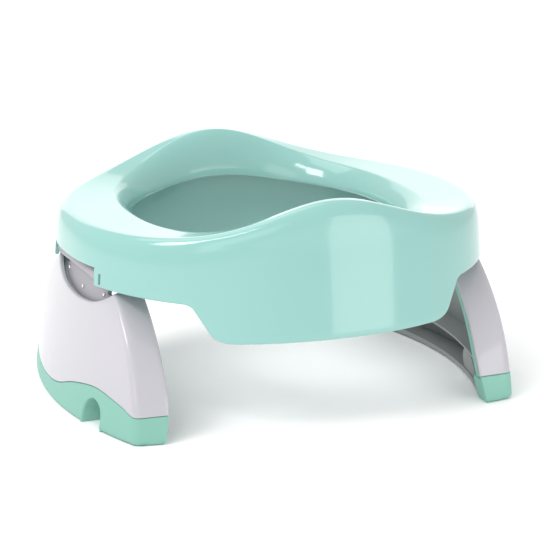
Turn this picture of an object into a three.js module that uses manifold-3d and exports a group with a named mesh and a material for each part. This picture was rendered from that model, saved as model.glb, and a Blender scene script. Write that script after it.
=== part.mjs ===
// Folding travel potty seat: an oval seat shell with a raised guard at the front and the back, and two legs
// that hinge near the seat's ends. Each leg locks upright, folds inwards under the seat, and folds outwards
// flat so that the seat can lie on a household toilet.
// Millimetres. +Z up, +X towards the right leg, -Y the front. The origin is on the floor under the centre.

import * as THREE from 'three';
import Module from 'manifold-3d';
import { LoftGeometry } from 'three/addons/geometries/LoftGeometry.js';
import { mergeVertices } from 'three/addons/utils/BufferGeometryUtils.js';

const wasm = await Module();
wasm.setup();

// ---------- driving dimensions ----------

const GAP = 0.3;                // between pieces that touch
const WALL = 3;                 // moulded shell thickness

// seat shell
const SEAT_HALF_LENGTH = 157;   // half the oval's length at the top of the end wall
const SEAT_HALF_WIDTH = 138;    // half the oval's width at the top of the guard
const SEAT_POWER = 2.2;         // superellipse power of the oval
const END_TOP = 138.5;          // height of the sitting surface at the ends
const GUARD_TOP = 167;          // height of the front and back guards
const GUARD_SPREAD = 56;        // half width of the guards' bell curve
const RIM_HALF_LENGTH = 98;     // opening, along X
const RIM_HALF_WIDTH = 112;     // opening, along Y
const RIM_POWER = 2.4;
const RIM_END = 124.4;          // height of the opening's edge at the ends
const RIM_RISE = 9;             // how much higher it is at the guards
const SHOULDER_WIDTH = 11;      // rounded shoulder between the outer wall and the flat crown
const SHOULDER_DEPTH = 24;
const SLOPE_WIDTH = 13;         // rounded fall from the flat crown to the opening's edge
const END_DRAFT = 0.04;         // outward lean of the end walls
const SIDE_DRAFT = 0.1;         // outward lean of the front and back walls
const SKIRT_BOTTOM = 70;        // lower edge of the front and back skirts
const SKIRT_HALF = 87;          // half length of that edge
const SIDE_EDGE = 98;           // lower edge between a skirt and an end
const END_EDGE = 112;           // lower edge over a leg
const END_NOTCH_HALF = 47;      // half width of the raised edge over a leg

// hinges
const HINGE_X = 144;
const HINGE_Z = 105;
const ROD_RADIUS = 3;
const BARREL_RADIUS = 6.5;
const BARREL_HALF = 46;
const LUG_INNER = 48.5;         // the seat's hinge lugs, along Y
const LUG_OUTER = 53;
const LUG_RADIUS = 7;
const LUG_OUTSET = 4.5;         // the lugs' flat outer side, inside the end wall

// legs
const FOOT_HALF_WIDTH = 118.5;  // at the floor
const LEG_CURVE_HEIGHT = 116;   // height at which the leg's elliptical sides would meet
const FOOT_CORNER_X = 147.4;
const FOOT_BULGE = 23;          // how far the outer face bows out at the floor
const TOP_BULGE = 6;
const FLANGE_X = 120;           // inner edge of the side flanges
const FLANGE_FLARE = 3.5;       // how much wider the flanges' inner edges stand at the floor
const LEG_TOP = 97;
const LEG_LEVELS = [0, 12, 24, 35, 45, 54, 63, 71, 78, 84, 90, 95, 100];
const CUT_BOTTOM = 80.5;        // lowest point of the cut that clears the seat's end
const CUT_HALF = 66;
const PANEL_WALL = 2.2;
const CHANNEL_DEPTH = 25;       // depth of the foot and the rib
const RIB_HEIGHT = 26;
const ARCH_Y = -64;             // arch in the front half of the foot
const ARCH_WIDTH = 25;
const ARCH_HEIGHT = 20;
const ARCH_DEPTH = 19;
const FACE_REACH = FOOT_CORNER_X + FOOT_BULGE + 10;

const TOE_THICKNESS = 16;       // solid rubber toes at the flanges' feet, along Y
const TOE_DEPTH = 15;
const TOE_TOP = 17.5;
const GRIP_THICKNESS = 5;       // rubber strips up the flanges' inner edges
const GRIP_DEPTH = 4;
const SHELF_SCREWS = [[-41, 90], [0, 86], [41, 90]];

// lock on the leg's inner side
const LOCK_HALF = 9;
const LOCK_BOTTOM = 70;
const LOCK_TOP = 81;
const LOCK_X = 133;
const SPRING_TOP = 91;

// ---------- solids ----------

function solid(geometry) {
  const bare = new THREE.BufferGeometry();
  bare.setAttribute('position', geometry.getAttribute('position'));
  bare.setIndex(geometry.getIndex());
  const merged = mergeVertices(bare, 1e-4);
  return new wasm.Manifold(new wasm.Mesh({
    numProp: 3,
    vertProperties: merged.getAttribute('position').array,
    triVerts: new Uint32Array(merged.getIndex().array),
  }));
}

function geometryOf(body) {
  const result = body.getMesh();
  const geometry = new THREE.BufferGeometry();
  geometry.setAttribute('position', new THREE.BufferAttribute(result.vertProperties, 3));
  geometry.setIndex(new THREE.BufferAttribute(result.triVerts, 1));
  geometry.computeVertexNormals();
  return geometry;
}

function box(x0, x1, y0, y1, z0, z1) {
  const geometry = new THREE.BoxGeometry(x1 - x0, y1 - y0, z1 - z0);
  geometry.translate((x0 + x1) / 2, (y0 + y1) / 2, (z0 + z1) / 2);
  return solid(geometry);
}

// a shape drawn in X and Z, extruded along Y from y0 to y1
function alongY(shape, y0, y1, curveSegments = 6) {
  const geometry = new THREE.ExtrudeGeometry(shape, { depth: y1 - y0, bevelEnabled: false, curveSegments });
  geometry.rotateX(Math.PI / 2);
  geometry.translate(0, y1, 0);
  return solid(geometry);
}

// a shape drawn in Y and Z, extruded along X from x0 to x1
function alongX(shape, x0, x1, curveSegments = 6) {
  const geometry = new THREE.ExtrudeGeometry(shape, { depth: x1 - x0, bevelEnabled: false, curveSegments });
  geometry.rotateX(Math.PI / 2);
  geometry.rotateZ(Math.PI / 2);
  geometry.translate(x0, 0, 0);
  return solid(geometry);
}

function cylinderY(radius, x, z, y0, y1, segments = 24) {
  const geometry = new THREE.CylinderGeometry(radius, radius, y1 - y0, segments);
  geometry.translate(x, (y0 + y1) / 2, z);
  return solid(geometry);
}

// ---------- seat ----------

function ovalPoint(angle, halfLength, halfWidth, power) {
  const c = Math.cos(angle);
  const s = Math.sin(angle);
  return new THREE.Vector2(
    halfLength * Math.sign(c) * Math.abs(c) ** (2 / power),
    halfWidth * Math.sign(s) * Math.abs(s) ** (2 / power),
  );
}

function guardShare(x) {
  return Math.exp(-(x * x) / (2 * GUARD_SPREAD * GUARD_SPREAD));
}

// the shell's upper surface in one upright section: distance in from the outer wall, and height
function crownProfile(crest, rim, width) {
  const points = [new THREE.Vector2(0, SKIRT_BOTTOM)];
  const quarter = Math.PI / 2;
  for (let i = 0; i <= 6; i++) {
    const p = ovalPoint(i / 6 * quarter, SHOULDER_WIDTH, SHOULDER_DEPTH, 3);
    points.push(new THREE.Vector2(SHOULDER_WIDTH - p.x, crest - SHOULDER_DEPTH + p.y));
  }
  for (let i = 6; i >= 0; i--) {
    const p = ovalPoint(i / 6 * quarter, SLOPE_WIDTH, crest - rim, 1.5);
    points.push(new THREE.Vector2(width - SLOPE_WIDTH + p.x, rim + p.y));
  }
  return points;
}

// the profile moved into the material by one wall thickness
function offsetProfile(points, distance) {
  return points.map((point, i) => {
    const before = points[Math.max(i - 1, 0)];
    const after = points[Math.min(i + 1, points.length - 1)];
    const along = after.clone().sub(before).normalize();
    return new THREE.Vector2(point.x + along.y * distance, point.y - along.x * distance);
  });
}

function seatSection(angle) {
  const outer = ovalPoint(angle, SEAT_HALF_LENGTH, SEAT_HALF_WIDTH, SEAT_POWER);
  const rim = ovalPoint(angle, RIM_HALF_LENGTH, RIM_HALF_WIDTH, RIM_POWER);
  const share = guardShare(outer.x);
  const crest = END_TOP + (GUARD_TOP - END_TOP) * share;
  const rimHeight = RIM_END + RIM_RISE * share;
  const width = outer.distanceTo(rim);
  const inward = rim.clone().sub(outer).normalize();
  const draft = END_DRAFT + (SIDE_DRAFT - END_DRAFT) * Math.abs(Math.sin(angle));
  const upper = crownProfile(crest, rimHeight, width);
  const lower = offsetProfile(upper, WALL);
  return [...lower, ...upper.reverse()].map((point) => {
    const lean = draft * Math.max(0, END_TOP - point.y) * (1 - point.x / width);
    const plan = outer.clone().addScaledVector(inward, point.x - lean);
    return new THREE.Vector3(plan.x, plan.y, point.y);
  });
}

function seatBody() {
  const count = 56;
  const sections = [];
  for (let i = 0; i <= count; i++) {
    sections.push(seatSection((i % count) / count * 2 * Math.PI));
  }
  return solid(new LoftGeometry(sections));
}

// what lies under the stepped lower edge, on the right
function edgeCutShape() {
  const shape = new THREE.Shape();
  shape.moveTo(SKIRT_HALF - 14, SKIRT_BOTTOM - 30);
  shape.lineTo(SKIRT_HALF - 14, SKIRT_BOTTOM);
  shape.quadraticCurveTo(SKIRT_HALF - 2, SKIRT_BOTTOM + 0.5, SKIRT_HALF + 2, SKIRT_BOTTOM + 9);
  shape.lineTo(SKIRT_HALF + 11, SIDE_EDGE - 5);
  shape.quadraticCurveTo(SKIRT_HALF + 13, SIDE_EDGE - 1.5, SKIRT_HALF + 18, SIDE_EDGE - 1);
  shape.lineTo(HINGE_X + 4, SIDE_EDGE + 1);
  shape.lineTo(HINGE_X + 50, SIDE_EDGE + 1);
  shape.lineTo(HINGE_X + 50, SKIRT_BOTTOM - 30);
  return shape;
}

function hingeLug(y0, y1) {
  const top = END_TOP - 2;
  const shape = new THREE.Shape();
  shape.moveTo(HINGE_X - LUG_RADIUS, top);
  shape.lineTo(HINGE_X - LUG_RADIUS, HINGE_Z);
  shape.absarc(HINGE_X, HINGE_Z, LUG_RADIUS, Math.PI, 1.5 * Math.PI, false);
  shape.lineTo(HINGE_X + LUG_OUTSET, HINGE_Z - LUG_OUTSET);
  shape.lineTo(HINGE_X + LUG_OUTSET, top - 12);
  const hole = new THREE.Path();
  hole.absarc(HINGE_X, HINGE_Z, ROD_RADIUS + GAP, 0, 2 * Math.PI, true);
  shape.holes.push(hole);
  return alongY(shape, y0, y1);
}

function mirrored(body) {
  return body.add(body.mirror([1, 0, 0]));
}

function seatShell() {
  let body = seatBody();
  const edge = alongY(edgeCutShape(), -SEAT_HALF_WIDTH - 20, SEAT_HALF_WIDTH + 20);
  body = body.subtract(mirrored(edge));
  const notch = box(HINGE_X - 30, HINGE_X + 40, -END_NOTCH_HALF, END_NOTCH_HALF, SKIRT_BOTTOM, END_EDGE);
  body = body.subtract(mirrored(notch));
  for (const side of [-1, 1]) {
    const y = [side * LUG_INNER, side * LUG_OUTER].sort((a, b) => a - b);
    body = body.add(mirrored(hingeLug(y[0], y[1])));
    const slot = box(HINGE_X + 1, HINGE_X + 20, side * LUG_OUTER - 1.2, side * LUG_OUTER + 1.2, HINGE_Z - 4, HINGE_Z + 4);
    body = body.subtract(mirrored(slot));
  }
  return body;
}

// ---------- leg, drawn on the right ----------

function legHalfWidth(z) {
  return FOOT_HALF_WIDTH * Math.sqrt(1 - (z / LEG_CURVE_HEIGHT) ** 2);
}

function cornerX(z) {
  return FOOT_CORNER_X - 0.045 * z;
}

function bulge(z) {
  return TOP_BULGE + (FOOT_BULGE - TOP_BULGE) * (1 - z / 110) ** 1.5;
}

function flangeX(z) {
  return FLANGE_X + 5 * Math.max(0, 1 - z / 40) ** 2;
}

// how far the flanges stand out per millimetre from the outer corner towards their inner edge
function flare(z) {
  return (FLANGE_FLARE - 0.13 * z) / (cornerX(z) - flangeX(z));
}

// one level of the leg: faceInset moves the outer face in, sideInset the two side flanges,
// and reach moves the open inner side
function legSection(z, faceInset, sideInset, reach) {
  const corner = cornerX(z) - faceInset;
  const inner = flangeX(z) + reach;
  const flangeHalf = (x) => legHalfWidth(z) - sideInset + flare(z) * (cornerX(z) - x);
  const half = flangeHalf(corner);
  const bow = bulge(z);
  const radius = Math.max(1.5, 5 - sideInset);
  const share = radius / half;
  const faceX = (u) => corner + bow * (1 - u * u);
  const roundCorner = (side) => {
    const curve = new THREE.QuadraticBezierCurve(
      new THREE.Vector2(corner - radius, side * flangeHalf(corner - radius)),
      new THREE.Vector2(corner + 0.6, side * half),
      new THREE.Vector2(faceX(1 - share), side * half * (1 - share)),
    );
    return curve.getPoints(2);
  };
  const flange = (side) => [0, 1, 2].map((i) => {
    const x = inner + (corner - radius - inner) * i / 3;
    return new THREE.Vector2(x, side * flangeHalf(x));
  });
  const points = [...flange(-1), ...roundCorner(-1)];
  const steps = 8;
  for (let i = 1; i < steps; i++) {
    const u = (1 - share) * (2 * i / steps - 1);
    points.push(new THREE.Vector2(faceX(u), u * half));
  }
  points.push(...roundCorner(1).reverse(), ...flange(1).reverse());
  return points.map((point) => new THREE.Vector3(point.x, point.y, z));
}

function legLoft(z0, z1, faceInset, sideInset, reach) {
  const levels = LEG_LEVELS.filter((z) => z > z0 + GAP && z < z1 - GAP);
  const sections = [z0, ...levels, z1].map((z) => legSection(z, faceInset, sideInset, reach));
  return solid(new LoftGeometry(sections, { capStart: true, capEnd: true }));
}

// everything above the leg's top edge: a dip in the middle clears the seat's end
function topCut(lift = 0) {
  const rise = LEG_TOP - CUT_BOTTOM;
  const half = [-1, -0.76, -0.45, 0, 0.45, 0.76, 1];
  const height = [1, 0.5, 0.14, 0, 0.14, 0.5, 1];
  const curve = new THREE.SplineCurve(half.map((share, i) => (
    new THREE.Vector2(share * CUT_HALF, CUT_BOTTOM + lift + rise * height[i])
  )));
  const top = LEG_TOP + 30;
  const shape = new THREE.Shape([
    new THREE.Vector2(150, top),
    new THREE.Vector2(-150, top),
    new THREE.Vector2(-150, LEG_TOP + lift),
    ...curve.getPoints(16),
    new THREE.Vector2(150, LEG_TOP + lift),
  ]);
  return alongX(shape, FLANGE_X - 20, FACE_REACH);
}

// everything below the rubber band's wavy upper edge, which is highest over the arch
function bandBody(offset) {
  const curve = new THREE.SplineCurve([
    new THREE.Vector2(-150, 19 + offset),
    new THREE.Vector2(-118, 19.3 + offset),
    new THREE.Vector2(-97, 24.6 + offset),
    new THREE.Vector2(ARCH_Y, 28.2 + offset),
    new THREE.Vector2(-28, 22.6 + offset),
    new THREE.Vector2(0, 14.6 + offset),
    new THREE.Vector2(26, 11.8 + offset),
    new THREE.Vector2(60, 12 + offset),
    new THREE.Vector2(118, 16 + offset),
    new THREE.Vector2(150, 16 + offset),
  ]);
  const shape = new THREE.Shape([
    new THREE.Vector2(150, -10),
    ...curve.getPoints(28).reverse(),
    new THREE.Vector2(-150, -10),
  ]);
  return alongX(shape, FLANGE_X - 20, FACE_REACH);
}

function archShape(grow) {
  const half = ARCH_WIDTH / 2 + grow;
  const spring = ARCH_HEIGHT - ARCH_WIDTH / 2;
  const shape = new THREE.Shape();
  shape.moveTo(ARCH_Y - half, -10);
  shape.lineTo(ARCH_Y + half, -10);
  shape.absarc(ARCH_Y, spring, half, 0, Math.PI, false);
  return shape;
}

function archBody(grow) {
  const face = cornerX(0) + FOOT_BULGE * (1 - (ARCH_Y / FOOT_HALF_WIDTH) ** 2);
  return alongX(archShape(grow), face - ARCH_DEPTH - grow, FACE_REACH);
}

function slab(z0, z1) {
  return box(FLANGE_X - 15, FACE_REACH, -150, 150, z0, z1);
}

function legShell() {
  const outer = legLoft(8, LEG_TOP + 3, 0, 0, 0);
  const hollow = legLoft(7, LEG_TOP + 4, WALL, WALL, -20);
  return outer.subtract(hollow).subtract(topCut()).subtract(bandBody(GAP));
}

// the solid toes at the feet of both flanges
function toes(grow) {
  return legLoft(-grow, TOE_TOP + grow, -grow, -grow, -grow)
    .subtract(legLoft(-1 - grow, TOE_TOP + 1 + grow, -20, TOE_THICKNESS + grow, -40))
    .intersect(box(0, FLANGE_X + TOE_DEPTH + grow, -150, 150, -10, LEG_TOP));
}

function rubberFoot() {
  const outer = legLoft(0, 34, 0, 0, 0).intersect(bandBody(0));
  const hollow = legLoft(WALL, 35, WALL, WALL, -20);
  const channel = legLoft(-1, 35, CHANNEL_DEPTH, WALL + 1, -30);
  const lining = legLoft(0, 34, 0.5, 0.5, -20).intersect(archBody(2)).intersect(bandBody(0));
  return outer
    .subtract(hollow)
    .subtract(channel)
    .add(lining)
    .add(toes(0).intersect(bandBody(0)))
    .subtract(archBody(0));
}

function innerPanel() {
  const inset = WALL + GAP;
  const low = WALL + GAP;
  const high = LEG_TOP - 2;
  const reach = GRIP_DEPTH + GAP;
  const filled = legLoft(low, high, inset, inset, reach);
  const skin = filled.subtract(legLoft(low - 1, high + 1, inset + PANEL_WALL, inset + PANEL_WALL, -20));
  const web = filled.subtract(legLoft(low - 1, high + 1, CHANNEL_DEPTH, inset + 1, -30));
  const boss = legLoft(low, high, inset, inset, -6).intersect(archBody(2 + GAP + PANEL_WALL));
  return skin
    .add(web.intersect(slab(low, low + PANEL_WALL)))
    .add(web.intersect(slab(RIB_HEIGHT, RIB_HEIGHT + PANEL_WALL)))
    .add(boss)
    .subtract(archBody(2 + GAP))
    .subtract(toes(GAP))
    .subtract(topCut());
}

// a rubber strip inside the inner edge of one side flange
function edgeGrip(side) {
  const low = TOE_TOP + 2 * GAP;
  const high = LEG_TOP - 4;
  const inset = WALL + 2 * GAP;
  const half = box(0, FACE_REACH, side < 0 ? -150 : 0, side < 0 ? 0 : 150, low - 1, high + 1);
  return legLoft(low, high, -20, inset, 0)
    .subtract(legLoft(low - 1, high + 1, -30, inset + GRIP_THICKNESS, -40))
    .subtract(legLoft(low - 1, high + 1, -30, -30, GRIP_DEPTH))
    .intersect(half);
}

// the wall behind the leg's cut, the barrel that the rod runs through, and the lock's guide
function hingeCarrier() {
  const outset = WALL + PANEL_WALL + 2 * GAP;
  const low = LOCK_BOTTOM - 5;
  const high = HINGE_Z - 4;
  const outline = new THREE.Shape();
  outline.moveTo(-54, low);
  outline.lineTo(54, low);
  outline.lineTo(58, LEG_TOP - 6);
  outline.lineTo(BARREL_HALF, LEG_TOP - 5);
  outline.lineTo(BARREL_HALF, high);
  outline.lineTo(-BARREL_HALF, high);
  outline.lineTo(-BARREL_HALF, LEG_TOP - 5);
  outline.lineTo(-58, LEG_TOP - 6);
  const wall = legLoft(low, high, outset, outset, -20)
    .subtract(legLoft(low - 1, high + 1, outset + WALL, outset, -30))
    .intersect(alongX(outline, LOCK_X, FACE_REACH));
  const barrel = cylinderY(BARREL_RADIUS, HINGE_X, HINGE_Z, -BARREL_HALF, BARREL_HALF);
  const bore = cylinderY(ROD_RADIUS + GAP, HINGE_X, HINGE_Z, -BARREL_HALF - 1, BARREL_HALF + 1);
  const railIn = LOCK_HALF + 0.5;
  const rails = box(LOCK_X + 2, FACE_REACH, -railIn - 2, -railIn, low, SPRING_TOP + 2)
    .add(box(LOCK_X + 2, FACE_REACH, railIn, railIn + 2, low, SPRING_TOP + 2))
    .add(box(LOCK_X + 2, FACE_REACH, -railIn, railIn, SPRING_TOP + GAP, SPRING_TOP + 2));
  const outside = legLoft(low - 1, high + 1, outset + 1, outset, -30);
  return wall.add(barrel).add(rails.intersect(outside)).subtract(bore);
}

function hingeRod() {
  return cylinderY(ROD_RADIUS, HINGE_X, HINGE_Z, -LUG_OUTER, LUG_OUTER);
}

// one of the small screws in the wall behind the cut
function shelfScrew(y, z) {
  const u = y / legHalfWidth(z);
  const face = cornerX(z) + bulge(z) * (1 - u * u) - WALL - PANEL_WALL - 2 * GAP;
  const geometry = new THREE.CylinderGeometry(1.2, 1.6, 1, 16);
  geometry.rotateZ(-Math.PI / 2);
  geometry.translate(face + 0.5 + GAP, y, z);
  return solid(geometry);
}

function lockSlide() {
  const plate = box(LOCK_X + 2, LOCK_X + 6, -LOCK_HALF, LOCK_HALF, LOCK_BOTTOM, LOCK_TOP);
  const ridge = box(LOCK_X - 1, LOCK_X + 3, -LOCK_HALF + 2, LOCK_HALF - 2, LOCK_BOTTOM, LOCK_BOTTOM + 3);
  return plate.add(ridge);
}

// a compression spring between the slide and the guide's top
class Coil extends THREE.Curve {
  constructor(radius, low, high, turns) {
    super();
    Object.assign(this, { radius, low, high, turns });
  }

  getPoint(t, target = new THREE.Vector3()) {
    const angle = t * this.turns * 2 * Math.PI;
    return target.set(
      this.radius * Math.cos(angle),
      this.radius * Math.sin(angle),
      this.low + (this.high - this.low) * t,
    );
  }
}

function lockSpring() {
  const wire = 0.35;
  const section = new THREE.Shape();
  section.absarc(0, 0, wire, 0, 2 * Math.PI, false);
  const path = new Coil(1.5, LOCK_TOP + GAP + wire, SPRING_TOP - GAP, 4);
  const geometry = new THREE.ExtrudeGeometry(section, {
    steps: 40,
    extrudePath: path,
    bevelEnabled: false,
    curveSegments: 3,
  });
  geometry.translate(LOCK_X + 4, 0, 0);
  return solid(geometry);
}

// ---------- the assembly ----------

const finishes = {
  mint: { color: 0xa9ddd3, roughness: 0.25, metalness: 0 },
  white: { color: 0xe9e7ee, roughness: 0.3, metalness: 0 },
  grey: { color: 0x6f7275, roughness: 0.5, metalness: 0 },
  rubber: { color: 0x9fdcc8, roughness: 0.55, metalness: 0 },
  steel: { color: 0xc4c6c8, roughness: 0.35, metalness: 1 },
};

const potty = new THREE.Group();

function addPiece(parent, name, body, finish) {
  const mesh = new THREE.Mesh(geometryOf(body), new THREE.MeshStandardMaterial(finishes[finish]));
  mesh.name = name;
  parent.add(mesh);
}

addPiece(potty, 'seat_shell', seatShell(), 'mint');

const legPieces = [
  ['leg_shell', legShell(), 'white'],
  ['rubber_foot', rubberFoot(), 'rubber'],
  ['inner_panel', innerPanel(), 'grey'],
  ['front_edge_grip', edgeGrip(-1), 'rubber'],
  ['back_edge_grip', edgeGrip(1), 'rubber'],
  ['hinge_carrier', hingeCarrier(), 'grey'],
  ['hinge_rod', hingeRod(), 'steel'],
  ...SHELF_SCREWS.map(([y, z], i) => [`shelf_screw_${i + 1}`, shelfScrew(y, z), 'steel']),
  ['lock_slide', lockSlide(), 'grey'],
  ['lock_spring', lockSpring(), 'steel'],
];

for (const [name, body, finish] of legPieces) {
  addPiece(potty, `right_${name}`, body, finish);
  addPiece(potty, `left_${name}`, body.mirror([1, 0, 0]), finish);
}

export default potty;
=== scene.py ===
import math

import bmesh
import bpy
import numpy as np
from mathutils import Matrix, Vector


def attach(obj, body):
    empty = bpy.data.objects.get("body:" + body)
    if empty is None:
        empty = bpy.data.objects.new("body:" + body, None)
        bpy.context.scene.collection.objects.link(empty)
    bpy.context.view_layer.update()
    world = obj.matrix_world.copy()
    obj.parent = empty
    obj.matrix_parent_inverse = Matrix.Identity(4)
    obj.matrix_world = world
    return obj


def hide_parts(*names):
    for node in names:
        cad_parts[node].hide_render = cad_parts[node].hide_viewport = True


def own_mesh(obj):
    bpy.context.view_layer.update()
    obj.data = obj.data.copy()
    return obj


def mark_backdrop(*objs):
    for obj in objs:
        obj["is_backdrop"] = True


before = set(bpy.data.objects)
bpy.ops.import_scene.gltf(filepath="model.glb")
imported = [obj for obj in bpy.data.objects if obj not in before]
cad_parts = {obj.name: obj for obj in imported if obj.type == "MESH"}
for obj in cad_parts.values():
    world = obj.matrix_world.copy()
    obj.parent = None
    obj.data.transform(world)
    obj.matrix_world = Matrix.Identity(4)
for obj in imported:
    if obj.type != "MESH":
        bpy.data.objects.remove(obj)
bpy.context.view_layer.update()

MM = 0.001
GAP = 0.3
WALL = 3.0

# ---------- dimensions, in millimetres, as in the CAD ----------

SEAT_HALF_LENGTH, SEAT_HALF_WIDTH, SEAT_POWER = 157, 138, 2.2
END_TOP, GUARD_TOP, GUARD_SPREAD = 138.5, 167, 56
RIM_HALF_LENGTH, RIM_HALF_WIDTH, RIM_POWER = 98, 112, 2.4
RIM_END, RIM_RISE = 124.4, 9
SHOULDER_WIDTH, SHOULDER_DEPTH, SLOPE_WIDTH = 11, 24, 13
END_DRAFT, SIDE_DRAFT = 0.04, 0.1
SKIRT_BOTTOM, SKIRT_HALF = 70, 87
SIDE_EDGE, END_EDGE, END_NOTCH_HALF = 98, 112, 47

HINGE_X, HINGE_Z = 144, 105
ROD_RADIUS, BARREL_RADIUS, BARREL_HALF = 3, 6.5, 46
LUG_INNER, LUG_OUTER, LUG_RADIUS, LUG_OUTSET = 48.5, 53, 7, 4.5

FOOT_HALF_WIDTH, LEG_CURVE_HEIGHT = 118.5, 116
FOOT_CORNER_X, FOOT_BULGE, TOP_BULGE = 147.4, 23, 6
FLANGE_X, FLANGE_FLARE = 120, 3.5
LEG_TOP, CUT_BOTTOM, CUT_HALF = 97, 80.5, 66
PANEL_WALL, CHANNEL_DEPTH, RIB_HEIGHT = 2.2, 25, 26
ARCH_Y, ARCH_WIDTH, ARCH_HEIGHT, ARCH_DEPTH = -64, 25, 20, 19
TOE_THICKNESS, TOE_DEPTH, TOE_TOP = 16, 15, 17.5
GRIP_THICKNESS, GRIP_DEPTH = 5, 4
SHELF_SCREWS = ((-41, 90), (0, 86), (41, 90))
LOCK_HALF, LOCK_BOTTOM, LOCK_TOP, LOCK_X, SPRING_TOP = 9, 70, 81, 133, 91


# ---------- mesh helpers ----------

def make_object(name, verts, faces, mirror=False):
    """A mesh object from points in millimetres; mirror builds it on the left."""
    verts = np.array(verts, float).reshape(-1, 3) * MM
    if mirror:
        verts[:, 0] *= -1
        faces = [tuple(reversed(f)) for f in faces]
    mesh = bpy.data.meshes.new(name)
    mesh.from_pydata(verts.tolist(), [], faces)
    mesh.validate()
    obj = bpy.data.objects.new(name, mesh)
    bpy.context.scene.collection.objects.link(obj)
    return obj


def grid_faces(rows, columns, close_rows=False, close_columns=False):
    faces = []
    for i in range(rows if close_rows else rows - 1):
        for j in range(columns if close_columns else columns - 1):
            a, b = i * columns + j, i * columns + (j + 1) % columns
            c, d = ((i + 1) % rows) * columns + (j + 1) % columns, ((i + 1) % rows) * columns + j
            faces.append((a, b, c, d))
    return faces


def loop_body(points):
    """A closed body from rows of closed loops: points[row, k]. Both ends are capped."""
    rows, count = points.shape[:2]
    faces = grid_faces(rows, count, close_columns=True)
    for row, turn in ((0, 1), (rows - 1, -1)):
        loop = [row * count + k for k in range(count)]
        faces.append(tuple(loop[::-1] if turn > 0 else loop))
    return points.reshape(-1, 3), faces


def outward(obj):
    bm = bmesh.new()
    bm.from_mesh(obj.data)
    bmesh.ops.remove_doubles(bm, verts=bm.verts, dist=1e-6)
    bmesh.ops.recalc_face_normals(bm, faces=bm.faces)
    bm.to_mesh(obj.data)
    bm.free()
    return obj


def apply_modifiers(obj):
    graph = bpy.context.evaluated_depsgraph_get()
    mesh = bpy.data.meshes.new_from_object(obj.evaluated_get(graph))
    obj.modifiers.clear()
    obj.data = mesh
    return obj


def combine(base, others, operation):
    """Joins the others to the base, or cuts them out of it, and removes them."""
    for other in others:
        modifier = base.modifiers.new("bool", "BOOLEAN")
        modifier.operation = operation
        modifier.solver = "MANIFOLD"
        modifier.object = other
        apply_modifiers(base)
        bpy.data.objects.remove(other)
    return base


def smooth(obj, angle=35):
    obj.data.shade_smooth()
    obj.data.set_sharp_from_angle(angle=math.radians(angle))
    return obj


def catmull(points, count):
    """A uniform Catmull-Rom curve through points of any dimension."""
    p = np.array(points, float)
    n = len(p)
    out = []
    for t in np.linspace(0, n - 1, count):
        i = min(int(t), n - 2)
        w = t - i
        p0, p1, p2, p3 = p[max(i - 1, 0)], p[i], p[i + 1], p[min(i + 2, n - 1)]
        v0, v1 = (p2 - p0) * 0.5, (p3 - p1) * 0.5
        cubic = 2 * p1 - 2 * p2 + v0 + v1
        square = -3 * p1 + 3 * p2 - 2 * v0 - v1
        out.append(cubic * w ** 3 + square * w ** 2 + v0 * w + p1)
    return np.array(out)


def arc(cx, cy, radius, start, end, count):
    angles = np.radians(np.linspace(start, end, count))
    return np.stack([cx + radius * np.cos(angles), cy + radius * np.sin(angles)], 1)


# ---------- seat ----------

def oval(angle, length, width, power):
    c, s = np.cos(angle), np.sin(angle)
    return np.array([length * np.sign(c) * abs(c) ** (2 / power), width * np.sign(s) * abs(s) ** (2 / power)])


def step_edge():
    """The stepped lower edge as (x, z), from the middle of the skirt to the end."""
    first = [(0, SKIRT_BOTTOM), (SKIRT_HALF - 14, SKIRT_BOTTOM)]
    foot = bezier((SKIRT_HALF - 14, SKIRT_BOTTOM),
                  (SKIRT_HALF - 2, SKIRT_BOTTOM + 0.5),
                  (SKIRT_HALF + 2, SKIRT_BOTTOM + 9))
    top = bezier((SKIRT_HALF + 11, SIDE_EDGE - 5),
                 (SKIRT_HALF + 13, SIDE_EDGE - 1.5),
                 (SKIRT_HALF + 18, SIDE_EDGE - 1))
    return np.array(first + foot + top + [(HINGE_X + 4, SIDE_EDGE + 1), (HINGE_X + 40, SIDE_EDGE + 1)])


def bezier(a, b, c, count=9):
    a, b, c = np.array(a, float), np.array(b, float), np.array(c, float)
    return [tuple(a * (1 - t) ** 2 + 2 * b * t * (1 - t) + c * t * t) for t in np.linspace(0, 1, count)]


def crown_profile(crest, rim, width):
    """Distance in and height, up the shoulder, over the flat crown and down to the opening's edge."""
    quarter = np.linspace(0, math.pi / 2, 25)
    shoulder = np.array([oval(t, SHOULDER_WIDTH, SHOULDER_DEPTH, 3) for t in quarter])
    slope = np.array([oval(t, SLOPE_WIDTH, crest - rim, 1.5) for t in quarter[::-1]])
    flat = width - SLOPE_WIDTH
    return np.concatenate([
        np.column_stack([SHOULDER_WIDTH - shoulder[:, 0], crest - SHOULDER_DEPTH + shoulder[:, 1]]),
        np.column_stack([np.linspace(SHOULDER_WIDTH, flat, 8)[1:-1], np.full(6, crest)]),
        np.column_stack([flat + slope[:, 0], rim + slope[:, 1]])])


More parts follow.
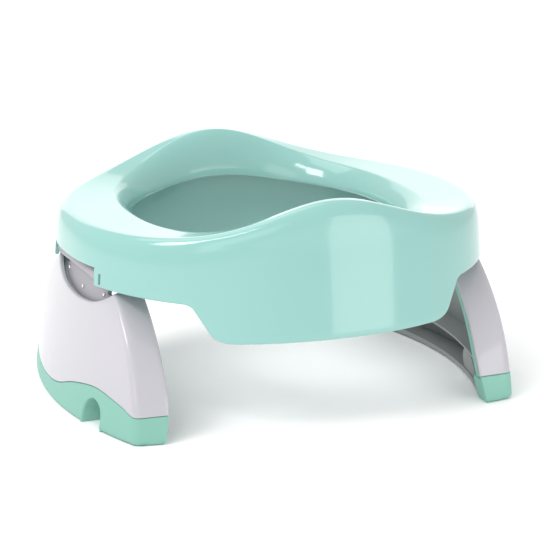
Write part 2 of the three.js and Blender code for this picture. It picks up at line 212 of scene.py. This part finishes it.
def seat_loop(angle, edge):
    """One upright section of the seat as a closed loop with rounded lower edge and rim."""
    outer = oval(angle, SEAT_HALF_LENGTH, SEAT_HALF_WIDTH, SEAT_POWER)
    rim = oval(angle, RIM_HALF_LENGTH, RIM_HALF_WIDTH, RIM_POWER)
    share = math.exp(-outer[0] ** 2 / (2 * GUARD_SPREAD ** 2))
    crest = END_TOP + (GUARD_TOP - END_TOP) * share
    rim_height = RIM_END + RIM_RISE * share
    width = float(np.linalg.norm(outer - rim))
    inward = (rim - outer) / width
    draft = END_DRAFT + (SIDE_DRAFT - END_DRAFT) * abs(math.sin(angle))
    bottom = np.interp(abs(outer[0]), edge[:, 0], edge[:, 1])
    if abs(outer[0]) > 110 and abs(outer[1]) < END_NOTCH_HALF:
        bottom = END_EDGE
    upper = crown_profile(crest, rim_height, width)
    along = np.gradient(upper, axis=0)
    for _ in range(3):
        along[1:-1] = (along[:-2] + 2 * along[1:-1] + along[2:]) / 4
    along /= np.linalg.norm(along, axis=1)[:, None]
    lower = upper + np.stack([along[:, 1], -along[:, 0]], 1) * WALL
    wall = np.linspace(0, 1, 14)[:-1]
    up_wall = np.stack([np.zeros(13), bottom + 1.2 + (crest - 24 - bottom - 1.2) * wall], 1)
    down_wall = np.stack([np.full(13, WALL), bottom + 1.2 + (crest - 24 - bottom - 1.2) * wall], 1)[::-1]
    a, b = upper[-1], lower[-1]
    middle, half = (a + b) / 2, (a - b) / 2
    turn = np.stack([half[1] * -1, half[0]]) * -1
    lip = [middle + half * math.cos(t) + turn * math.sin(t) for t in np.linspace(0, math.pi, 9)[1:-1]]
    foot_in = arc(WALL - 1.2, bottom + 1.2, 1.2, 0, -90, 6)
    foot_out = arc(1.2, bottom + 1.2, 1.2, -90, -180, 6)
    loop = np.concatenate([foot_out, up_wall[1:], upper, np.array(lip), lower[::-1], down_wall[:-1], foot_in])
    lean = draft * np.maximum(0, END_TOP - loop[:, 1]) * (1 - loop[:, 0] / width)
    plan = outer[None, :] + inward[None, :] * (loop[:, 0] - lean)[:, None]
    return np.column_stack([plan, loop[:, 1]])


def seat_angles():
    """Section angles, closer together at the steps in the lower edge."""
    base = np.linspace(0, math.pi / 2, 97)
    xs = np.array([oval(a, SEAT_HALF_LENGTH, SEAT_HALF_WIDTH, SEAT_POWER) for a in base])
    quarter = list(base[:-1])
    for x in np.linspace(SKIRT_HALF - 15, SKIRT_HALF + 20, 44):
        quarter.append(float(np.interp(-x, -xs[:, 0], base)))
    notch = float(np.interp(END_NOTCH_HALF, xs[:, 1], base))
    quarter += [notch - 0.0015, notch + 0.0015]
    quarter = np.array(sorted(set(round(a, 5) for a in quarter)))
    quarter = quarter[np.concatenate([[True], np.diff(quarter) > 0.0009])]
    half = np.concatenate([quarter, math.pi - quarter[::-1][:-1]])
    half = np.concatenate([half[:len(quarter)], [math.pi / 2], half[len(quarter):]])
    return np.unique(np.round(np.concatenate([half, half[1:] + math.pi]), 6))[:-1]


def hinge_lug(x_sign, y_sign):
    top = END_TOP - 6
    outline = [(-LUG_RADIUS, top - HINGE_Z)] + [tuple(p) for p in arc(0, 0, LUG_RADIUS, 180, 270, 16)]
    outline += [(LUG_OUTSET, -LUG_OUTSET), (LUG_OUTSET, top - 12 - HINGE_Z)]
    y0, y1 = sorted((y_sign * LUG_INNER, y_sign * LUG_OUTER))
    rows = np.array([[(x_sign * (HINGE_X + p[0]), y, HINGE_Z + p[1]) for p in outline] for y in (y0, y1)])
    lug = outward(make_object("lug", *loop_body(rows)))
    bevel = lug.modifiers.new("bevel", "BEVEL")
    bevel.width, bevel.segments, bevel.angle_limit = 0.0006, 3, math.radians(40)
    apply_modifiers(lug)
    return combine(lug, [tube_y(x_sign * HINGE_X, HINGE_Z, ROD_RADIUS + GAP, y0 - 1, y1 + 1)], "DIFFERENCE")


def tube_y(x, z, radius, y0, y1, chamfer=0.0, count=48):
    """A cylinder along Y with chamfered ends."""
    profile = [(y0, radius - chamfer), (y0 + chamfer, radius), (y1 - chamfer, radius), (y1, radius - chamfer)]
    rows = []
    for y, r in profile:
        angles = np.linspace(0, 2 * math.pi, count, endpoint=False)
        rows.append(np.stack([x + r * np.cos(angles), np.full(count, y), z + r * np.sin(angles)], 1))
    return outward(make_object("tube", *loop_body(np.array(rows))))


def box_body(x0, x1, y0, y1, z0, z1):
    rows = np.array([[(x0, y0, z), (x1, y0, z), (x1, y1, z), (x0, y1, z)] for z in (z0, z1)])
    return outward(make_object("box", *loop_body(rows)))


def build_seat():
    edge = step_edge()
    rows = np.array([seat_loop(a, edge) for a in seat_angles()])
    count = rows.shape[1]
    seat = make_object("seat", rows.reshape(-1, 3), grid_faces(len(rows), count, True, True))
    outward(seat)
    lugs = [hinge_lug(x, y) for x in (-1, 1) for y in (-1, 1)]
    combine(seat, lugs, "UNION")
    slots = []
    for x in (-1, 1):
        for y in (-1, 1):
            x0, x1 = sorted((x * (HINGE_X + 1), x * (HINGE_X + 20)))
            slots.append(box_body(x0, x1, y * LUG_OUTER - 1.2, y * LUG_OUTER + 1.2, HINGE_Z - 4, HINGE_Z + 4))
    combine(seat, slots, "DIFFERENCE")
    return smooth(seat, 40)


# ---------- leg surfaces, drawn on the right ----------

def half_width(z):
    return FOOT_HALF_WIDTH * np.sqrt(1 - (z / LEG_CURVE_HEIGHT) ** 2)


def corner_x(z):
    return FOOT_CORNER_X - 0.045 * z


def bulge(z):
    return TOP_BULGE + (FOOT_BULGE - TOP_BULGE) * (1 - z / 110) ** 1.5


def flange_x(z):
    return FLANGE_X + 5 * np.maximum(0, 1 - z / 40) ** 2


def flange_half(x, z, inset):
    flare = (FLANGE_FLARE - 0.13 * z) / (corner_x(z) - flange_x(z))
    return half_width(z) - inset + flare * (corner_x(z) - x)


class LegPath:
    """Stations along the leg's horizontal section: flange, corner, face, corner, flange."""

    def __init__(self, flange=8, corner=8, face=64):
        kinds = []
        for i in range(flange):
            kinds.append(("flange", -1, i / flange))
        for i in range(corner):
            kinds.append(("corner", -1, i / corner))
        for i in range(face + 1):
            kinds.append(("face", 0, 2 * i / face - 1))
        for i in reversed(range(corner)):
            kinds.append(("corner", 1, i / corner))
        for i in reversed(range(flange)):
            kinds.append(("flange", 1, i / flange))
        self.stations = kinds

    def place(self, index, z, inset, reach=0.0):
        """The point of a station at height z, moved in from the outside; z and inset are arrays."""
        kind, side, t = self.stations[index]
        corner = corner_x(z) - inset
        radius = np.maximum(1.2, 5 - inset)
        half = flange_half(corner, z, inset)
        share = radius / half
        bow = bulge(z)
        start = corner - radius
        if kind == "flange":
            inner = flange_x(z) + reach
            x = inner + (start - inner) * t
            return np.stack([x, side * flange_half(x, z, inset), z], -1)
        if kind == "corner":
            a = np.stack([start, side * flange_half(start, z, inset)], -1)
            b = np.stack([corner + 0.6, side * half], -1)
            u = 1 - share
            c = np.stack([corner + bow * (1 - u * u), side * half * u], -1)
            p = a * (1 - t) ** 2 + 2 * b * t * (1 - t) + c * t * t
            return np.stack([p[..., 0], p[..., 1], z], -1)
        u = (1 - share) * t
        return np.stack([corner + bow * (1 - u * u), u * half, z], -1)

    def height_where(self, index, level, low, high):
        """The height at which this station meets the curve z = level(y)."""
        a, b = low, high
        for _ in range(40):
            middle = (a + b) / 2
            y = self.place(index, np.array(middle), np.array(0.0))[1]
            if middle < level(y):
                a = middle
            else:
                b = middle
        return (a + b) / 2


def band_level(y):
    """The rubber band's wavy upper edge."""
    return float(np.interp(y, BAND[:, 0], BAND[:, 1]))


def cut_level(y):
    """The leg's upper edge, with the dip that clears the seat's end."""
    return LEG_TOP if abs(y) >= CUT_HALF else float(np.interp(y, CUT[:, 0], CUT[:, 1]))


BAND = catmull([(-150, 19), (-118, 19.3), (-97, 24.6), (ARCH_Y, 28.2), (-28, 22.6), (0, 14.6), (26, 11.8),
                (60, 12), (118, 16), (150, 16)], 181)
CUT = catmull([(share * CUT_HALF, CUT_BOTTOM + (LEG_TOP - CUT_BOTTOM) * rise) for share, rise in
               ((-1, 1), (-0.76, 0.5), (-0.45, 0.14), (0, 0), (0.45, 0.14), (0.76, 0.5), (1, 1))], 121)
PATH = LegPath()


def strip_loop(low, high, inset, thickness, radius=0.8, middle=28):
    """A closed loop of (height, inset) round a wall between two heights, with rounded edges."""
    outer, inner = inset, inset + thickness
    up = np.linspace(low + radius, high - radius, middle)
    points = [(z, outer) for z in up]
    points += [(p[1], p[0]) for p in arc(outer + radius, high - radius, radius, 180, 90, 5)[1:]]
    points += [(p[1], p[0]) for p in arc(inner - radius, high - radius, radius, 90, 0, 5)]
    points += [(z, inner) for z in up[::-1][1:]]
    points += [(p[1], p[0]) for p in arc(inner - radius, low + radius, radius, 0, -90, 5)[1:]]
    points += [(p[1], p[0]) for p in arc(outer + radius, low + radius, radius, -90, -180, 5)[:-1]]
    return np.array(points)


def leg_wall(name, mirror, low, high, inset, thickness, reach, radius=0.8, path=PATH):
    """A wall that follows the leg's section between two height curves, with its edges rounded."""
    rows = []
    count = len(path.stations)
    ends = 5
    middle = inset + thickness / 2
    for i in range(count):
        loop = strip_loop(low(i), high(i), inset, thickness, radius)
        end = min(i, count - 1 - i)
        if end == 0:
            for e in range(ends):
                angle = math.pi / 2 * (1 - e / ends)
                shrunk = loop.copy()
                shrunk[:, 1] = middle + (loop[:, 1] - middle) * (1 - 0.75 * (1 - math.cos(angle)))
                back = radius * (1 - math.sin(angle))
                rows.append((i, path.place(i, shrunk[:, 0], shrunk[:, 1], reach + back)))
            rows[-ends:] = rows[-ends:] if i == 0 else rows[-ends:][::-1]
        else:
            rows.append((i, path.place(i, loop[:, 0], loop[:, 1], reach + radius)))
    return outward(make_object(name, *loop_body(np.array([r[1] for r in rows])), mirror))


def heights(level, low, high, path=PATH):
    table = [path.height_where(i, level, low, high) for i in range(len(path.stations))]
    return lambda i: table[i]


BAND_HEIGHTS = heights(band_level, 0.0, 40.0)
TOP_HEIGHTS = heights(cut_level, 60.0, LEG_TOP)


def build_leg_shell(name, mirror):
    low = lambda i: BAND_HEIGHTS(i) + GAP
    return smooth(leg_wall(name, mirror, low, TOP_HEIGHTS, 0.0, WALL, 0.0), 60)


def flange_bar(name, side, x0, x1, in0, in1, z0, z1, radius, mirror, levels=30):
    """A rounded bar lying against the inside of a flange; x0 and x1 are from the flange's edge."""
    def ring(x0, x1, in0, in1, r):
        pts = np.concatenate([arc(x1 - r, in1 - r, r, 0, 90, 6), arc(x0 + r, in1 - r, r, 90, 180, 6),
                              arc(x0 + r, in0 + r, r, 180, 270, 6), arc(x1 - r, in0 + r, r, 270, 360, 6)])
        return pts
    rows = []
    quarter = np.linspace(0, math.pi / 2, 6)
    stops = [(z0 + radius * (1 - math.cos(t)), radius * (1 - math.sin(t))) for t in quarter]
    stops += [(z, 0.0) for z in np.linspace(z0 + radius, z1 - radius, levels)[1:-1]]
    stops += [(z1 - radius * (1 - math.cos(t)), radius * (1 - math.sin(t))) for t in quarter[::-1]]
    for z, shrink in stops:
        base = float(flange_x(z))
        ring_points = ring(x0 + shrink, x1 - shrink, in0 + shrink, in1 - shrink, max(0.2, radius - shrink))
        x = base + ring_points[:, 0]
        y = side * flange_half(x, z, ring_points[:, 1])
        rows.append(np.stack([x, y, np.full(len(x), z)], 1))
    return outward(make_object(name, *loop_body(np.array(rows)), mirror))


def face_bar(name, mirror, depth0, depth1, z0, z1, side_inset, radius=0.7, stations=81, spread=1.0):
    """A bar across the leg whose depth is measured in from the bowed face."""
    ring = np.concatenate([
        arc(depth1 - radius, z1 - radius, radius, 0, 90, 5),
        arc(depth0 + radius, z1 - radius, radius, 90, 180, 5),
        arc(depth0 + radius, z0 + radius, radius, 180, 270, 5),
        arc(depth1 - radius, z0 + radius, radius, 270, 360, 5)])
    rows = []
    for u in np.linspace(-spread, spread, stations):
        z = ring[:, 1]
        half = half_width(z) - side_inset
        x = corner_x(z) - ring[:, 0] + bulge(z) * (1 - u * u)
        rows.append(np.stack([x, u * half, z], 1))
    return outward(make_object(name, *loop_body(np.array(rows)), mirror))


def face_at(y, z):
    return corner_x(z) + bulge(z) * (1 - (y / half_width(z)) ** 2)


def arch_outline(grow, steps=24):
    half = ARCH_WIDTH / 2 + grow
    spring = ARCH_HEIGHT - ARCH_WIDTH / 2
    points = [(ARCH_Y + p[0], spring + p[1]) for p in arc(0, 0, half, 0, 180, steps)]
    return points


def arch_body(name, mirror, stops, bottom=-6.0):
    """An arch-shaped tunnel; stops is a list of (distance in from the face, growth)."""
    rows = []
    for depth, grow in stops:
        outline = arch_outline(grow)
        drop = np.linspace(ARCH_HEIGHT - ARCH_WIDTH / 2, bottom, 6)[1:]
        low_y = [(ARCH_Y - ARCH_WIDTH / 2 - grow, z) for z in drop]
        high_y = [(2 * ARCH_Y - y, z) for y, z in reversed(low_y)]
        ring = np.array(outline + low_y + high_y)
        x = face_at(ring[:, 0], np.maximum(ring[:, 1], 0)) - depth
        rows.append(np.column_stack([x, ring[:, 0], ring[:, 1]]))
    return outward(make_object(name, *loop_body(np.array(rows)), mirror))


def foot_bottom_wall(name, mirror):
    """The foot's outer wall, turned under at the floor with a generous radius."""
    rows = []
    turn = 4.0
    for i in range(len(PATH.stations)):
        top = BAND_HEIGHTS(i)
        radius = 0.7
        outer_z = np.linspace(turn, top - radius, 18)
        angles = np.linspace(math.pi / 2, 0, 9)
        under = [(turn - turn * math.sin(t), turn * (1 - math.cos(t)) * 0.8) for t in angles]
        points = under + [(z, 0.0) for z in outer_z[1:]]
        points += [(p[1], p[0]) for p in arc(radius, top - radius, radius, 180, 90, 5)[1:]]
        points += [(p[1], p[0]) for p in arc(WALL - radius, top - radius, radius, 90, 0, 5)]
        points += [(z, WALL) for z in np.linspace(top - radius, 3.4, 12)[1:]]
        points += [(3.2, WALL + 1.2), (0.0, WALL + 2.0)]
        loop = np.array(points)
        rows.append(PATH.place(i, loop[:, 0], loop[:, 1], 0.4))
    return outward(make_object(name, *loop_body(np.array(rows)), mirror))


def build_foot(name, mirror):
    foot = foot_bottom_wall(name, mirror)
    parts = [face_bar("slab", mirror, 2.2, CHANNEL_DEPTH - 7, 0.0, WALL, 3.6, 0.9)]
    for side in (-1, 1):
        parts.append(flange_bar("toe", side, 0.0, TOE_DEPTH, 0.25, TOE_THICKNESS, 0.0, TOE_TOP, 2.4, mirror))
    parts.append(arch_body("lining", mirror, [(0.8, 2.0), (ARCH_DEPTH + 2.0, 2.0)], 0.0))
    combine(foot, parts, "UNION")
    cutter = arch_body("arch", mirror, [
        (-3.0, 3.2), (-0.4, 1.5), (0.1, 0.8), (0.6, 0.35), (1.3, 0.08), (2.2, 0.0),
        (ARCH_DEPTH - 2.5, 0.0), (ARCH_DEPTH - 0.7, -0.7), (ARCH_DEPTH, -2.5)])
    combine(foot, [cutter], "DIFFERENCE")
    return smooth(foot, 42)


def build_panel(name, mirror):
    inset = WALL + GAP
    low = lambda i: WALL + GAP
    high = lambda i: TOP_HEIGHTS(i) - 1.0
    panel = leg_wall(name, mirror, low, high, inset, PANEL_WALL, GRIP_DEPTH + GAP, 0.5)
    side = inset + 1.4
    parts = [
        face_bar("ledge", mirror, inset + 1.0, CHANNEL_DEPTH, RIB_HEIGHT, RIB_HEIGHT + PANEL_WALL, side),
        face_bar("web", mirror, inset + 1.0, CHANNEL_DEPTH - 1, inset, inset + PANEL_WALL, side),
        face_bar("lip", mirror, CHANNEL_DEPTH - 6, CHANNEL_DEPTH, 0.8, inset + PANEL_WALL, side, 1.0)]
    grow = 2 + GAP + PANEL_WALL
    end = ARCH_DEPTH + 2 + GAP + PANEL_WALL
    boss_stops = [(inset + 0.6, grow), (end - 1.6, grow), (end - 0.5, grow - 0.5), (end, grow - 1.6)]
    parts.append(arch_body("boss", mirror, boss_stops, inset))
    combine(panel, parts, "UNION")
    cutters = [arch_body("pocket", mirror, [(-2, 2 + GAP), (ARCH_DEPTH + 2 + GAP, 2 + GAP)])]
    for end_side in (-1, 1):
        cutters.append(flange_bar("toe_room", end_side, -20, TOE_DEPTH + GAP, -2, TOE_THICKNESS + GAP,
                                  -3, TOE_TOP + GAP, 1.0, mirror))
    combine(panel, cutters, "DIFFERENCE")
    return smooth(panel, 40)


def build_grip(name, side, mirror):
    inset = WALL + 2 * GAP
    bar = flange_bar(name, side, 0.0, GRIP_DEPTH, inset, inset + GRIP_THICKNESS,
                     TOE_TOP + 2 * GAP, LEG_TOP - 4, 0.9, mirror)
    return smooth(bar, 60)


def build_carrier(name, mirror):
    """The wall behind the dip, the hinge barrel and the lock's guide."""
    outset = WALL + PANEL_WALL + 2 * GAP
    low = LOCK_BOTTOM - 5
    rows = []
    stations = [-63.5, -63, -59, -55] + list(np.linspace(-54, -46.2, 6)) + [-46]
    stations += list(np.linspace(-45.8, 45.8, 41)) + [46]
    stations += list(np.linspace(46.2, 54, 6)) + [55, 59, 63, 63.5]
    for y in stations:
        wide = abs(y) > 46
        top = 91.5 if wide else HINGE_Z - 4
        bottom = low if abs(y) <= 54 else low + (abs(y) - 54) * 1.6
        loop = strip_loop(bottom, top, outset, WALL, 0.6, 14)
        x = face_at(y, loop[:, 0]) - loop[:, 1]
        rows.append(np.column_stack([x, np.full(len(x), y), loop[:, 0]]))
    wall = outward(make_object(name, *loop_body(np.array(rows)), mirror))
    sign = -1 if mirror else 1
    barrel = tube_y(sign * HINGE_X, HINGE_Z, BARREL_RADIUS, -BARREL_HALF, BARREL_HALF, 0.6, 64)
    rail = LOCK_HALF + 0.5
    rails = []
    x0, x1 = sorted((sign * (LOCK_X + 2), sign * (LOCK_X + 11)))
    for y0, y1, z0 in (
            (-rail - 2, -rail, low), (rail, rail + 2, low), (-rail - 1, rail + 1, SPRING_TOP + GAP)):
        rails.append(box_body(x0, x1, y0, y1, z0, SPRING_TOP + 2))
    combine(wall, [barrel] + rails, "UNION")
    bore = tube_y(sign * HINGE_X, HINGE_Z, ROD_RADIUS + GAP, -BARREL_HALF - 1, BARREL_HALF + 1)
    combine(wall, [bore], "DIFFERENCE")
    return smooth(wall, 40)


def build_rod(name, mirror):
    rod = tube_y((-1 if mirror else 1) * HINGE_X, HINGE_Z, ROD_RADIUS, -LUG_OUTER, LUG_OUTER, 0.5, 40)
    rod.name = name
    return smooth(rod, 40)


def build_screw(name, y, z, mirror):
    """A small pan-head screw with a cross recess, seen from outside."""
    face = float(face_at(y, z)) - WALL - PANEL_WALL - 2 * GAP + GAP
    profile = [(0.0, 1.6), (0.35, 1.6), (0.7, 1.35), (0.92, 0.9), (1.0, 0.001)]
    rows = []
    for height, radius in profile:
        angles = np.linspace(0, 2 * math.pi, 32, endpoint=False)
        ring = [np.full(32, face + height), y + radius * np.cos(angles), z + radius * np.sin(angles)]
        rows.append(np.stack(ring, 1))
    screw = outward(make_object(name, *loop_body(np.array(rows)), mirror))
    sign = -1 if mirror else 1
    cross = []
    for dy, dz in ((0.85, 0.2), (0.2, 0.85)):
        x0, x1 = sorted((sign * (face + 0.55), sign * (face + 1.4)))
        cross.append(box_body(x0, x1, y - dy, y + dy, z - dz, z + dz))
    combine(screw, cross, "DIFFERENCE")
    return smooth(screw, 35)


def build_lock(name, mirror):
    """The sprung slide: a plate with a thumb ridge."""
    sign = -1 if mirror else 1
    def sized(x0, x1, *rest):
        a, b = sorted((sign * x0, sign * x1))
        return box_body(a, b, *rest)
    plate = sized(LOCK_X + 2, LOCK_X + 6, -LOCK_HALF, LOCK_HALF, LOCK_BOTTOM, LOCK_TOP)
    ridge = sized(LOCK_X - 1, LOCK_X + 3, -LOCK_HALF + 2, LOCK_HALF - 2, LOCK_BOTTOM, LOCK_BOTTOM + 3)
    combine(plate, [ridge], "UNION")
    plate.name = name
    bevel = plate.modifiers.new("bevel", "BEVEL")
    bevel.width, bevel.segments, bevel.angle_limit = 0.0006, 3, math.radians(40)
    apply_modifiers(plate)
    return smooth(plate, 40)


def build_spring(name, mirror):
    """A small compression spring with closed ends."""
    turns, wire, radius, sides, steps = 5.5, 0.35, 1.5, 10, 240
    low, high = LOCK_TOP + GAP + wire, SPRING_TOP - GAP
    centre = LOCK_X + 4
    rows = []
    for t in np.linspace(0, 1, steps):
        angle = t * turns * 2 * math.pi
        eased = np.clip((t - 0.1) / 0.8, 0, 1)
        z = low + (high - low) * (eased * 0.92 + t * 0.08)
        out = np.array([math.cos(angle), math.sin(angle), 0.0])
        up = np.array([0.0, 0.0, 1.0])
        ring = np.linspace(0, 2 * math.pi, sides, endpoint=False)
        point = np.array([centre, 0, z]) + out * radius
        rows.append(point + wire * (np.cos(ring)[:, None] * out + np.sin(ring)[:, None] * up))
    return smooth(outward(make_object(name, *loop_body(np.array(rows)), mirror)), 60)


# ---------- materials ----------

def srgb(text):
    values = [int(text[i:i + 2], 16) / 255 for i in (0, 2, 4)]
    return tuple((v / 12.92 if v <= 0.04045 else ((v + 0.055) / 1.055) ** 2.4) for v in values) + (1.0,)


def plastic(name, colour, roughness, grain=900.0, bump=0.05, mottle=0.03, coat=0.0):
    """Moulded plastic: a faint colour drift and a fine moulded texture in the roughness and the bump."""
    material = bpy.data.materials.new(name)
    material.use_nodes = True
    nodes, links = material.node_tree.nodes, material.node_tree.links
    shader = nodes["Principled BSDF"]
    place = nodes.new("ShaderNodeTexCoord")
    drift = nodes.new("ShaderNodeTexNoise")
    drift.inputs["Scale"].default_value = 9.0
    drift.inputs["Detail"].default_value = 3.0
    links.new(place.outputs["Object"], drift.inputs["Vector"])
    ramp = nodes.new("ShaderNodeValToRGB")
    base = srgb(colour)
    ramp.color_ramp.elements[0].position, ramp.color_ramp.elements[1].position = 0.3, 0.7
    ramp.color_ramp.elements[0].color = tuple(v * (1 - mottle) for v in base[:3]) + (1,)
    ramp.color_ramp.elements[1].color = tuple(min(1, v * (1 + mottle)) for v in base[:3]) + (1,)
    links.new(drift.outputs["Fac"], ramp.inputs["Fac"])
    links.new(ramp.outputs["Color"], shader.inputs["Base Color"])
    fine = nodes.new("ShaderNodeTexNoise")
    fine.inputs["Scale"].default_value = grain
    fine.inputs["Detail"].default_value = 2.0
    links.new(place.outputs["Object"], fine.inputs["Vector"])
    spread = nodes.new("ShaderNodeMapRange")
    spread.inputs["To Min"].default_value = roughness * 0.9
    spread.inputs["To Max"].default_value = roughness * 1.1
    links.new(fine.outputs["Fac"], spread.inputs["Value"])
    links.new(spread.outputs["Result"], shader.inputs["Roughness"])
    height = nodes.new("ShaderNodeBump")
    height.inputs["Strength"].default_value = bump
    height.inputs["Distance"].default_value = 0.0002
    links.new(fine.outputs["Fac"], height.inputs["Height"])
    links.new(height.outputs["Normal"], shader.inputs["Normal"])
    shader.inputs["Coat Weight"].default_value = coat
    shader.inputs["Coat Roughness"].default_value = 0.04
    return material


def steel(name, colour, roughness):
    material = plastic(name, colour, roughness, grain=400.0, bump=0.1, mottle=0.08)
    material.node_tree.nodes["Principled BSDF"].inputs["Metallic"].default_value = 1.0
    return material


MATERIALS = {
    "seat_mint": plastic("seat_mint", "88BAB3", 0.15, 700.0, 0.02, 0.015, 0.5),
    "leg_white": plastic("leg_white", "B6B4BA", 0.2, 900.0, 0.03, 0.01, 0.3),
    "foot_mint": plastic("foot_mint", "7FB4A5", 0.5, 1600.0, 0.12, 0.03),
    "inner_grey": plastic("inner_grey", "858989", 0.45, 1400.0, 0.15, 0.05),
    "hinge_grey": plastic("hinge_grey", "9C9AA0", 0.45, 1400.0, 0.15, 0.04),
    "lock_grey": plastic("lock_grey", "8E9094", 0.4, 1200.0, 0.15, 0.04),
    "rod_steel": steel("rod_steel", "B8BABF", 0.3),
    "screw_steel": steel("screw_steel", "F2F2F4", 0.25),
    "spring_steel": steel("spring_steel", "A8AAB0", 0.3),
}


def finish(obj, slot, body, *nodes):
    obj.data.materials.clear()
    obj.data.materials.append(MATERIALS[slot])
    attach(obj, body)
    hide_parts(*nodes)
    return obj


# ---------- assembly ----------

finish(build_seat(), "seat_mint", "seat", "seat_shell")
for label, mirror in (("right", False), ("left", True)):
    leg, sign = f"{label}_leg", -1 if mirror else 1
    finish(build_leg_shell(f"{label}_shell", mirror), "leg_white", leg, f"{label}_leg_shell")
    finish(build_foot(f"{label}_foot", mirror), "foot_mint", leg, f"{label}_rubber_foot")
    finish(build_panel(f"{label}_lining", mirror), "inner_grey", leg, f"{label}_inner_panel")
    for side, word in ((-1, "front"), (1, "back")):
        grip = build_grip(f"{label}_{word}_grip", side, mirror)
        finish(grip, "foot_mint", leg, f"{label}_{word}_edge_grip")
    finish(build_carrier(f"{label}_carrier", mirror), "hinge_grey", leg, f"{label}_hinge_carrier")
    finish(build_rod(f"{label}_rod", mirror), "rod_steel", leg, f"{label}_hinge_rod")
    for i, (y, z) in enumerate(SHELF_SCREWS):
        screw = build_screw(f"{label}_screw_{i + 1}", y, z, mirror)
        finish(screw, "screw_steel", leg, f"{label}_shelf_screw_{i + 1}")
    finish(build_lock(f"{label}_slide", mirror), "lock_grey", f"{label}_lock", f"{label}_lock_slide")
    spring = build_spring(f"{label}_spring", mirror)
    finish(spring, "spring_steel", leg, f"{label}_lock_spring")
    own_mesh(spring)

# ---------- floor, light and camera ----------

def sheet(name, points, material):
    obj = make_object(name, points, [(0, 1, 2, 3)])
    obj.data.materials.append(material)
    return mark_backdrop(obj)


floor_material = plastic("floor", "FFFFFF", 0.9, 60.0, 0.0, 0.002)
FLOOR_HALF, FLOOR_Z = 9000, -0.3
corners = [(x * FLOOR_HALF, y * FLOOR_HALF, FLOOR_Z) for x, y in ((-1, -1), (1, -1), (1, 1), (-1, 1))]
sheet("floor", corners, floor_material)


def lamp(name, size, energy, position, target=(0, 0, 0.08), size_y=None, spread=180):
    light = bpy.data.lights.new(name, "AREA")
    light.shape = "RECTANGLE"
    light.size, light.size_y = size, size_y or size
    light.energy = energy
    light.spread = math.radians(spread)
    obj = bpy.data.objects.new(name, light)
    obj.location = position
    obj.visible_camera = False
    obj.rotation_euler = (Vector(target) - Vector(position)).to_track_quat("-Z", "Y").to_euler()
    bpy.context.scene.collection.objects.link(obj)
    return obj


world = bpy.data.worlds.new("studio")
world.use_nodes = True
world.node_tree.nodes["Background"].inputs["Color"].default_value = (1, 1, 1, 1)
world.node_tree.nodes["Background"].inputs["Strength"].default_value = 0.85
bpy.context.scene.world = world
bpy.context.scene.view_settings.view_transform = "Standard"

lamp("key", 0.62, 9.5, (-1.15, -0.35, 1.3), size_y=0.5)
lamp("spot", 0.36, 2.2, (-0.8, -0.75, 1.4), size_y=0.24)
lamp("overhead", 1.4, 7, (-0.3, 0.5, 1.7), size_y=1.0)
lamp("band", 0.21, 0.24, (0.215, -0.465, 0.1), (0.01, -0.13, 0.1), size_y=0.2)
lamp("fill", 1.6, 4, (-1.1, -2.0, 0.9), size_y=0.8)
lamp("backdrop", 2.6, 9, (0.85, 2.1, 0.75), size_y=1.4)

azimuth, elevation = math.radians(-21.6767), math.radians(15.3524)
forward = Vector((
    -math.sin(azimuth) * math.cos(elevation),
    math.cos(azimuth) * math.cos(elevation),
    -math.sin(elevation)))
right = Vector((math.cos(azimuth), math.sin(azimuth), 0))
up = right.cross(forward)
camera = bpy.data.objects.new("camera", bpy.data.cameras.new("camera"))
camera.data.lens, camera.data.sensor_width = 163.64, 36
camera.data.clip_end = 50
position = Vector((0, 0, 0.072)) - forward * 1.885493 - right * -0.0050211 - up * -0.0072946
camera.matrix_world = Matrix((
    (right.x, up.x, -forward.x, position.x),
    (right.y, up.y, -forward.y, position.y),
    (right.z, up.z, -forward.z, position.z),
    (0, 0, 0, 1)))
bpy.context.scene.collection.objects.link(camera)
bpy.context.scene.camera = camera
